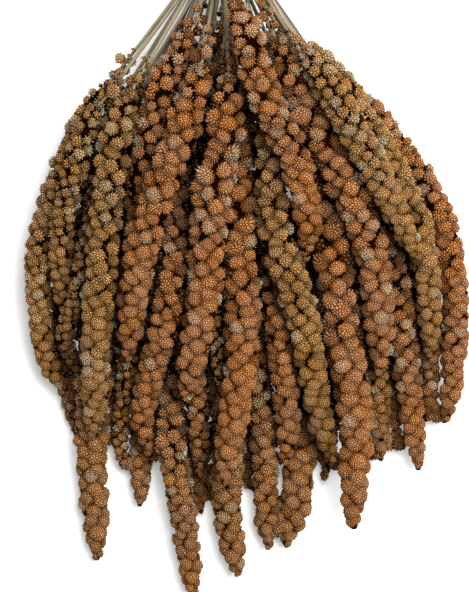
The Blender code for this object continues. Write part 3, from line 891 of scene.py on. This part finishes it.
def shaded(name, group, attribute, values, bump, depth):
    """A material whose colour, roughness and height come from the group, fed by the named attribute."""
    material = bpy.data.materials.new(name)
    material.use_nodes = True
    tree = material.node_tree
    shader = tree.nodes["Principled BSDF"]
    read = node(tree, "ShaderNodeAttribute", attribute_name=attribute)
    drawn = node(tree, "ShaderNodeGroup", node_tree=group)
    tree.links.new(read.outputs["Color" if attribute == "tone" else "Vector"], drawn.inputs[0])
    if attribute == "tone":
        tree.links.new(read.outputs["Alpha"], drawn.inputs["Tuft"])
        tree.links.new(drawn.outputs["Shine"], shader.inputs["Specular IOR Level"])
    else:
        # Fibre takes its painted light, the painted shade of stems under heads, from the tone.
        tone = node(tree, "ShaderNodeAttribute", attribute_name="tone").outputs["Color"]
        light = node(tree, "ShaderNodeSeparateColor", [("Color", tone)]).outputs[2]
        tree.links.new(light, drawn.inputs["Light"])
    for label, value in values.items():
        drawn.inputs[label].default_value = value
    tree.links.new(drawn.outputs["Colour"], shader.inputs["Base Color"])
    tree.links.new(drawn.outputs["Roughness"], shader.inputs["Roughness"])
    lifted = [("Height", drawn.outputs["Height"]), ("Strength", bump), ("Distance", depth)]
    raised = node(tree, "ShaderNodeBump", lifted)
    tree.links.new(raised.outputs[0], shader.inputs["Normal"])
    return material


@cache
def bunch():
    """Middle lines and radii of the heads, moved from the plan to where the frame has them, and the
    shift: the whole bunch goes across so that its tie lies on the frame's tie."""
    low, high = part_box("tie")
    shift = (np.array(low) + np.array(high)) / 2 - TIE
    lines, radius = settled()
    for i, head in enumerate(HEADS):
        if head[0] == 0:
            lines[i, STEM_STATIONS:, 2] -= PRESSED
    lines[..., :2] += shift[:2]
    return lines, radius, shift


@cache
def frame_search():
    """A search tree of every triangle of the frame, and the node that each triangle is of."""
    points, faces, owners, base = [], [], [], 0
    for node_name, node_object in frame["nodes"].items():
        mesh = node_object.data
        co = np.empty(len(mesh.vertices) * 3)
        mesh.vertices.foreach_get("co", co)
        mesh.calc_loop_triangles()
        tri = np.empty(len(mesh.loop_triangles) * 3, np.int32)
        mesh.loop_triangles.foreach_get("vertices", tri)
        points.append(co.reshape(-1, 3))
        faces.append(tri.reshape(-1, 3) + base)
        owners += [node_name] * len(mesh.loop_triangles)
        base += len(mesh.vertices)
    points, faces = np.concatenate(points).tolist(), np.concatenate(faces).tolist()
    return BVHTree.FromPolygons(points, faces), owners


@cache
def gap_places():
    """Narrow gaps between heads where the floor would show. A grid of rays goes straight down; a place
    on it is in a gap where its ray misses the bunch and heads lie near on both sides, in one row.
    The gaps between the tips are left open where they are wider. Gives the head on the left of each
    gap and the gap's middle."""
    tree, owners = frame_search()
    shift = bunch()[2]
    found = []
    for row in np.arange(*GAP_REACH, 4 * GAP_STEP):
        span = GAP_SPAN if row < CROWN_ROW else CROWN_SPAN
        across = np.arange(-span, span, GAP_STEP)
        hits = [tree.ray_cast((x + shift[0], row + shift[1], 0.3), (0, 0, -1))[2] for x in across]
        named = [owners[index] if index is not None else "" for index in hits]
        widest = np.interp(row, GAP_ROWS, GAP_WIDTHS)
        last = None
        for k, owner in enumerate(named):
            if not owner.startswith("head"):
                continue
            if last is not None and 1 < k - last <= widest / GAP_STEP:
                found.append((named[last], (across[last] + across[k]) / 2 + shift[0], row + shift[1]))
            last = k
    return found


def gap_balls(own, draw):
    """Balls of grain of one head that close the gaps on its right, low down and facing up, as
    ball_places gives them. The list is empty where the head has no such gap."""
    rows = []
    for owner, x, y in gap_places():
        if owner == own:
            size = GAP_BALL * draw.uniform(0.85, 1.2)
            centre = np.array([x + draw.normal(0, 0.5) * MM, y, size + draw.uniform(0.5, 7) * MM])
            out = unit(np.array([draw.normal(0, 0.2), draw.normal(0, 0.2), 1.0]))
            rows.append((centre, out, np.array([0.0, -1.0, 0.0]), size, 0.5))
    return [columns(rows)] if rows else []


def settle_piece(obj, node_name):
    """Sets a finished piece into the frame in place of its solid."""
    if node_name not in frame["nodes"] or not len(obj.data.polygons):
        raise RuntimeError(f"{obj.name} can't take the place of {node_name}")
    obj.data.validate()
    obj.data.update()
    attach(obj, "root")
    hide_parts(node_name)
    return obj


def ball_detail(share, above):
    """The level of detail of each ball, finer the better it shows."""
    detail = np.where(share > 0.0, "coarse", "hidden").astype("<U8")
    detail[above | (share > SEEN_WELL)] = "middling"
    detail[above & (share > SEEN_FROM_ABOVE)] = "fine"
    return detail


def straw(line, thickness, name, draw):
    """One stem from its cut end to just inside its head, a ridged tube that thickens by a sixth."""
    neck = STEM_STATIONS + 1
    below = rounded_path(line[:3], 9)[:-1]
    stem = np.vstack([below, rounded_path(line[2:neck], 24), line[neck : neck + 1]])
    width = thickness * draw.uniform(0.78, 0.98) * np.linspace(0.9, 1.05, len(stem))
    points, faces, fibre = tube(stem, width, 10, ridge=0.06, ridges=5, twist=draw.uniform(-25, 25))
    fibre[:, :2] += draw.uniform(0, 20, 2)
    tone = np.tile(EVEN_TONE, (len(points), 1))
    # Painted shade: the stem's colour is darkened where it runs under other heads.
    tone[:, 2] = painted_stem_light(name, stem, points)
    return dict(points=points, faces=faces, fibre=fibre, tone=tone, slot=1)


def millet_head(name, line, radius, library, looks, materials, draw):
    """One head on its stem: balls of grain, the stalk between them painted dark as shade, tufts, bristles
    and straw.
    """
    head_line, head_radius = line[STEM_STATIONS:], radius[STEM_STATIONS:]
    balls = ball_places(head_line, head_radius, draw)
    strays = stray_balls(line[STEM_STATIONS : STEM_STATIONS - 2 : -1], draw)
    filling = gap_balls(name, draw)
    balls = [np.concatenate(group) for group in zip(balls, strays, *filling)]
    centre, out, ahead, size, along = balls
    share, above = seen_from_outside(frame_search(), name, balls)
    detail = ball_detail(share, above)
    # Painted shade: each ball's colour is darkened the fewer directions leave the bunch from it, and
    # towards the head's tip, times a random tone from ball to ball.
    light = np.clip((share - PAINTED_DARK_SHARE) / PAINTED_LIT_SHARE, 0, 1) * draw.uniform(*BALL_LIGHTS, len(size))
    light *= np.interp(along, (0.5, 1), (1, PAINTED_TIP_LIGHT))
    facing = above * np.where(along == 0, STRAY_FACING_UP, FACING_UP)
    out = unit(out + facing[:, None] * np.array([0, 0, 1]))
    balls = [centre, out, ahead, size, along]
    likely = looks.tuft_share * np.interp(along, TUFT_ALONG, TUFT_CHANCES)
    tufted = (draw.uniform(0, 1, len(size)) < likely) & (detail == "fine")
    tufts = tufted * draw.uniform(0.5, 1, len(size))
    points, faces, tone, groove = set_balls(library, balls, detail, light, draw, tufts)
    parts = [dict(points=points, faces=faces, tone=tone, groove=groove)]
    stalk = rounded_path(head_line, STALK_STATIONS)
    at, known = np.linspace(0, 1, STALK_STATIONS), np.linspace(0, 1, len(head_radius))
    thick = np.interp(at, known, head_radius) * STALK_SHARE
    points, faces, _ = tube(stalk[1:-1], thick[1:-1], 8)
    # The stalk is painted dark as shade: the gap colour, dimmed.
    parts.append(dict(points=points, faces=faces, tone=np.tile(CORE_PAINTED_SHADE, (len(points), 1))))
    parts.append(straw(line, radius[0], name, draw))
    parts += chaff(balls, detail == "fine", tufts, looks, draw)
    return piece("millet_" + name, parts, materials)


def painted_stem_light(own, stem, points):
    """The painted light of a stem at each of its points, which dims its colour: full where straight up
    from the stem is open, painted shade under other heads, and blended from one to the other along the
    stem."""
    tree, owners = frame_search()
    light = []
    for place in stem:
        hit = tree.ray_cast(place + np.array([0, 0, 2 * MM]), (0, 0, 1))
        light.append(1.0 if hit[0] is None or owners[hit[2]] == own else PAINTED_STEM_SHADE)
    light = np.convolve(np.pad(light, 2, mode="edge"), np.full(5, 0.2), mode="valid")
    nearest = np.abs(points[:, None, 1] - stem[None, :, 1]).argmin(1)
    return light[nearest]


def chaff(balls, shown, tufts, looks, draw):
    """Tufts of short pale scales on the tufted balls, and a few bristles on every ball that shows,
    away from the tip. Both stand on the ball at a random lean from its outward direction."""
    centre, out, ahead, size, along = balls
    pick = np.repeat(np.flatnonzero(shown & (along < SMOOTH_FROM)), BRISTLES_A_BALL)
    way = unit(out[pick] + draw.normal(0, 0.55, (len(pick), 3)) + ahead[pick] * 0.3)
    long = looks.bristle_length * draw.uniform(0.5, 1.3, len(pick))
    width = np.full(len(pick), looks.bristle_width)
    bow = draw.normal(0, 0.12, (len(pick), 3))
    root = centre[pick] + way * (size[pick] * 0.93)[:, None]
    points, faces = spikes(root, way + ahead[pick] * 0.5, long, width, bow)
    parts = [dict(points=points, faces=faces, slot=2)]
    tufted = np.flatnonzero(tufts > 0)
    if len(tufted):
        pick = np.repeat(tufted, SCALES_A_TUFT)
        way = unit(out[pick] + draw.normal(0, 0.42, (len(pick), 3)))
        root = centre[pick] + way * (size[pick] * 0.9)[:, None]
        long = looks.tuft_length * draw.uniform(0.6, 1.3, len(pick)) * (0.6 + 0.4 * tufts[pick])
        width = looks.tuft_width * draw.uniform(0.6, 1.4, len(pick))
        way = way * 1.1 - out[pick] * 0.3 + draw.normal(0, 0.3, (len(pick), 3))
        points, faces = scales(root, way, long, width)
        parts.append(dict(points=points, faces=faces, slot=3))
    return parts


def twine_line(start, turns, pitch, radius, centre):
    """A helix round the Y axis through centre: a circle in X and Z that goes up Y by the pitch for
    every turn, with its middle at the centre."""
    angle = np.linspace(0, turns * 2 * np.pi, int(turns * 150)) + start
    along = (angle - start) / (2 * np.pi) * pitch - turns * pitch / 2
    return centre + np.stack([radius * np.sin(angle), along, radius * np.cos(angle)], 1)


def two_ply(line, radius, draw):
    """Two strands laid round each other along the line, each a ridged tube half a twine thick. The
    strands' middles turn round the line once every lay, half a turn apart."""
    ahead = unit(np.gradient(line, axis=0))
    side = unit(np.cross(ahead, [0.21, 0.93, 0.31]))
    other = np.cross(ahead, side)
    reach = reach_along(line)
    parts = []
    for phase in (0, np.pi):
        turn = (reach / STRAND_LAY * 2 * np.pi + phase)[:, None]
        middle = line + radius * 0.48 * turned(side, other, turn)
        strand = radius * 0.56 * (1 + draw.normal(0, 0.02, len(line)))
        points, faces, fibre = tube(middle, strand, 8, ridge=0.05, ridges=4, twist=1400)
        parts.append(dict(points=points, faces=faces, fibre=fibre))
    return parts


def grain_material(looks, slot):
    """The grain material of one slot."""
    ripe = {"grain_orange": looks.orange, "grain_olive": looks.olive, "grain_brown": looks.brown}[slot]
    values = {
        "Ripe Colour": (*ripe, 1),
        "Husk Colour": (*looks.husk, 1),
        "Painted Gap Shade": (*looks.gap, 1),
        "Tuft Colour": (*looks.tuft, 1),
        "Husk Share": looks.husk_share,
    }
    return shaded("Grain " + slot, grain_group(), "tone", values, 0.5, 0.5 * MM)


def fibrous(name, colours, streaks, bump):
    """A material of dry fibre, from its own colour, its dark one and that of its blotches."""
    labels = ("Colour", "Dark Colour", "Blotch Colour")
    values = {label: (*colour, 1) for label, colour in zip(labels, colours)}
    values["Streaks"] = streaks
    return shaded(name, fibre_group(), "fibre", values, bump, 0.2 * MM)


def plain(name, colour, roughness, glow=0.0):
    """A material of one colour, which shines of itself where glow is above nothing."""
    material = bpy.data.materials.new(name)
    material.use_nodes = True
    shader = material.node_tree.nodes["Principled BSDF"]
    shader.inputs["Base Color"].default_value = (*colour, 1)
    shader.inputs["Roughness"].default_value = roughness
    shader.inputs["Emission Strength"].default_value = glow
    return material


def colour(name, text, value):
    """A property that holds a colour."""
    limits = dict(subtype="COLOR", size=3, min=0, max=1)
    return bpy.props.FloatVectorProperty(name=name, description=text, default=value, **limits)


def number(name, text, value, **limits):
    """A property that holds a number, never below 0."""
    return bpy.props.FloatProperty(name=name, description=text, min=0, default=value, **limits)


def distance(name, text, value):
    """A property that holds a length."""
    return number(name, text, value, unit="LENGTH")


def fraction(name, text, value):
    """A property that holds a share from 0 to 1."""
    return number(name, text, value, subtype="FACTOR", max=1)


class MilletLooks(bpy.types.PropertyGroup):
    """Colours and sizes of the grain and the straw."""

    orange: colour("Orange grain", "Grain of the heads that ripened to orange", (0.28, 0.082, 0.012))
    olive: colour("Olive grain", "Grain of the heads that kept some green", (0.24, 0.108, 0.017))
    brown: colour("Brown grain", "Grain of the darker heads below", (0.215, 0.078, 0.012))
    husk: colour("Husk", "Pale top of each grain", (0.54, 0.31, 0.15))
    # Painted shade: near black for the grooves between grains, the rims of the balls and the hidden
    # parts.
    gap: colour("Gap", "Depth between the grains", (0.018, 0.006, 0.001))
    tuft: colour("Tuft", "Scales of chaff in tufts", (0.42, 0.4, 0.28))
    straw: colour("Straw", "Stems", (0.21, 0.165, 0.09))
    straw_dark: colour("Straw streaks", "Streaks along the stems", (0.1, 0.065, 0.03))
    straw_green: colour("Straw blotches", "Green left in the stems", (0.13, 0.12, 0.06))
    bristle: colour("Bristle", "Bristles between the grains", (0.3, 0.2, 0.1))
    husk_share: fraction("Husk share", "How much of the husk shows", 0.8)
    tuft_share: fraction("Tufted balls", "Share of the balls that bear a tuft", 0.15)
    tuft_length: distance("Tuft length", "Length of a scale of chaff", 1.5 * MM)
    tuft_width: distance("Tuft scale width", "Radius of a scale of chaff", 0.24 * MM)
    bristle_length: distance("Bristle length", "Length of a bristle", 2.2 * MM)
    bristle_width: distance("Bristle thickness", "Radius at a bristle's root", 0.07 * MM)


class MilletBinding(bpy.types.PropertyGroup):
    """Colours and sizes of the twine and the stripped twig."""

    twine: colour("Twine", "Twine of the tie", (0.5, 0.34, 0.17))
    twine_dark: colour("Twine hollows", "Depth between the strands", (0.2, 0.12, 0.05))
    twig: colour("Twig", "Bark of the stripped twig", (0.3, 0.23, 0.15))
    twig_dark: colour("Twig streaks", "Streaks in the bark", (0.12, 0.08, 0.05))
    thickness: distance("Twine thickness", "Across both strands", 1.9 * MM)
    pitch: distance("Twine pitch", "From one turn to the next", 2.05 * MM)


class MilletStudio(bpy.types.PropertyGroup):
    """Floor, light and camera."""

    floor: colour("Floor", "Pale floor", (0.9, 0.9, 0.89))
    key_power: number("Key light", "Power of the large soft light", 114.0, unit="POWER")
    key_size: distance("Key size", "Across the large soft light", 1.8)
    dome: number("Dome", "Strength of the pale light all round", 0.35)
    floor_glow: number("Floor glow", "How much the floor shines, like a light table", 0.28)
    reach: distance("Camera height", "From the camera to the upper heads", 3.0)
    across: distance("Seen length", "Length that the picture's long side takes in", 0.3552)


class MILLET_OT_heads(bpy.types.Operator):
    """Builds the forty-one heads of grain on their stems"""

    bl_idname = "millet.heads"
    bl_label = "Build Heads"

    def execute(self, context):
        looks = context.scene.millet_looks
        library = ball_library(np.random.default_rng(7))
        fibres = (looks.straw, looks.straw_dark, looks.straw_green)
        others = [
            fibrous("Dry stem", fibres, 0.8, 0.35),
            plain("Bristle", looks.bristle, 0.6),
            plain("Tuft of chaff", looks.tuft, 0.8),
        ]
        kinds = ("grain_orange", "grain_olive", "grain_brown")
        palettes = {kind: [grain_material(looks, kind), *others] for kind in kinds}
        slots = {part["node"]: part["material_slot"] for part in frame["record"]["subparts"]}
        lines, radii, _ = bunch()
        for i in range(len(HEADS) - 1):
            name = f"head_{i + 1:02d}"
            materials = palettes[slots[name]]
            draw = np.random.default_rng(400 + i)
            obj = millet_head(name, lines[i], radii[i], library, looks, materials, draw)
            settle_piece(obj, name)
        return {"FINISHED"}


class MILLET_OT_twig(bpy.types.Operator):
    """Builds the stripped twig with the spurs that its grains have fallen from"""

    bl_idname = "millet.twig"
    bl_label = "Build Twig"

    def execute(self, context):
        binding = context.scene.millet_binding
        draw = np.random.default_rng(77)
        line = rounded_path(bunch()[0][-1], 70)
        along = np.linspace(0, 1, len(line))
        width = (0.62 + 0.2 * along) * MM * (1 + 0.12 * np.sin(along * 60))
        points, faces, fibre = tube(line, width, 8, ridge=0.07, ridges=3, twist=60)
        parts = [dict(points=points, faces=faces, fibre=fibre)]
        whorls = range(34, 68, 4)
        at = np.repeat(whorls, 7)
        rise = unit(np.gradient(line, axis=0))[at]
        around = draw.normal(0, 1, (len(at), 3))
        around = unit(around - rise * (around * rise).sum(1, keepdims=True))
        root = line[at] + rise * draw.normal(0, 0.5 * MM, len(at))[:, None]
        size = draw.uniform(0.7, 1.7, len(at)) * MM
        thick, bow = np.full(len(at), 0.3 * MM), draw.normal(0, 0.2, (len(at), 3))
        points, faces = spikes(root, around + rise * 0.35, size, thick, bow)
        parts.append(dict(points=points, faces=faces))
        bark = fibrous("Bark", (binding.twig, binding.twig_dark, binding.twig), 0.9, 0.5)
        settle_piece(piece("stripped_twig", parts, [bark]), "bare_twig")
        return {"FINISHED"}


class MILLET_OT_tie(bpy.types.Operator):
    """Winds and knots the twine"""

    bl_idname = "millet.tie"
    bl_label = "Wind Tie"

    def execute(self, context):
        binding = context.scene.millet_binding
        draw = np.random.default_rng(91)
        centre = TIE + bunch()[2] * (1, 1, 0)
        low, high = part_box("tie")
        radius = binding.thickness / 2
        winding = (high[0] - low[0]) / 2 - radius
        line = twine_line(0.0, 4.0, binding.pitch, winding, centre)
        parts = two_ply(line, radius, draw)
        top = centre + np.array([0, 0, winding])
        for strand, size in ((KNOT, 1), (TWINE_ENDS[0], 0.95), (TWINE_ENDS[1], 0.95)):
            line = rounded_path(top + np.array(strand) * MM, TWINE_STATIONS)
            parts += two_ply(line, radius * size, draw)
        clouds = [part["points"] for part in parts]
        root = np.concatenate([cloud[draw.integers(0, len(cloud), 60)] for cloud in clouds])
        way = draw.normal(0, 1, (len(root), 3))
        size = draw.uniform(0.6, 2.0, len(root)) * MM
        thick, bow = np.full(len(root), 0.04 * MM), draw.normal(0, 0.3, (len(root), 3))
        points, faces = spikes(root, way, size, thick, bow)
        parts.append(dict(points=points, faces=faces))
        twine = fibrous("Twine", (binding.twine, binding.twine_dark, binding.twine), 0.7, 0.6)
        settle_piece(piece("twine_tie", parts, [twine]), "tie")
        return {"FINISHED"}


class MILLET_OT_studio(bpy.types.Operator):
    """Sets the pale floor, the soft light and the camera straight above"""

    bl_idname = "millet.studio"
    bl_label = "Set Up Studio"

    def execute(self, context):
        studio = context.scene.millet_studio
        for name in ("Cube", "Light", "Camera"):
            if name in bpy.data.objects:
                bpy.data.objects.remove(bpy.data.objects[name])
        shift = bunch()[2]
        scene = context.scene
        mesh = bpy.data.meshes.new("Floor")
        mesh.from_pydata([(-3, -3, 0), (3, -3, 0), (3, 3, 0), (-3, 3, 0)], [], [(0, 1, 2, 3)])
        mesh.materials.append(plain("Floor", studio.floor, 0.9, studio.floor_glow))
        floor = bpy.data.objects.new("Floor", mesh)
        floor.location.z = -0.2 * MM
        scene.collection.objects.link(floor)
        camera_data = bpy.data.cameras.new("Camera")
        camera_data.sensor_width = 36
        camera_data.lens = camera_data.sensor_width * studio.reach / studio.across
        camera_data.clip_start = 0.1
        camera = bpy.data.objects.new("Camera", camera_data)
        camera.location = (shift[0], shift[1], studio.reach + 45 * MM)
        scene.collection.objects.link(camera)
        scene.camera = camera
        light_data = bpy.data.lights.new("Key light", "AREA")
        light_data.shape = "DISK"
        light_data.size = studio.key_size
        light_data.energy = studio.key_power
        light = bpy.data.objects.new("Key light", light_data)
        light.location = (0.7, 0.6, 2.2)
        light.rotation_euler = Vector(light.location).to_track_quat("Z", "Y").to_euler()
        scene.collection.objects.link(light)
        world = bpy.data.worlds.new("Pale dome")
        world.use_nodes = True
        sky = world.node_tree.nodes["Background"]
        sky.inputs["Color"].default_value = (1.0, 1.0, 1.0, 1)
        sky.inputs["Strength"].default_value = studio.dome
        scene.world = world
        scene.view_settings.view_transform = "Standard"
        return {"FINISHED"}


class MILLET_PT_panel(bpy.types.Panel):
    """Lists the settings and builds the bunch piece by piece"""

    bl_idname = "MILLET_PT_panel"
    bl_label = "Tied Millet Bunch"
    bl_space_type = "VIEW_3D"
    bl_region_type = "UI"
    bl_category = "Millet"

    def draw(self, context):
        layout, scene = self.layout, context.scene
        for group in (scene.millet_looks, scene.millet_binding, scene.millet_studio):
            for name in group.bl_rna.properties.keys():
                if name not in ("rna_type", "name"):
                    layout.prop(group, name)
        for operator in (MILLET_OT_heads, MILLET_OT_twig, MILLET_OT_tie, MILLET_OT_studio):
            layout.operator(operator.bl_idname)


CLASSES = (
    MilletLooks,
    MilletBinding,
    MilletStudio,
    MILLET_OT_heads,
    MILLET_OT_twig,
    MILLET_OT_tie,
    MILLET_OT_studio,
    MILLET_PT_panel,
)


def register():
    """Registers the classes and hangs the property groups on the scene."""
    for cls in CLASSES:
        bpy.utils.register_class(cls)
    bpy.types.Scene.millet_looks = bpy.props.PointerProperty(type=MilletLooks)
    bpy.types.Scene.millet_binding = bpy.props.PointerProperty(type=MilletBinding)
    bpy.types.Scene.millet_studio = bpy.props.PointerProperty(type=MilletStudio)


def unregister():
    """Takes away all that register adds."""
    del bpy.types.Scene.millet_studio
    del bpy.types.Scene.millet_binding
    del bpy.types.Scene.millet_looks
    for cls in reversed(CLASSES):
        bpy.utils.unregister_class(cls)


def main():
    """Builds every piece and the stage."""
    register()
    bpy.ops.millet.heads()
    bpy.ops.millet.twig()
    bpy.ops.millet.tie()
    bpy.ops.millet.studio()
    bpy.context.view_layer.update()


if __name__ == "__main__":
    main()
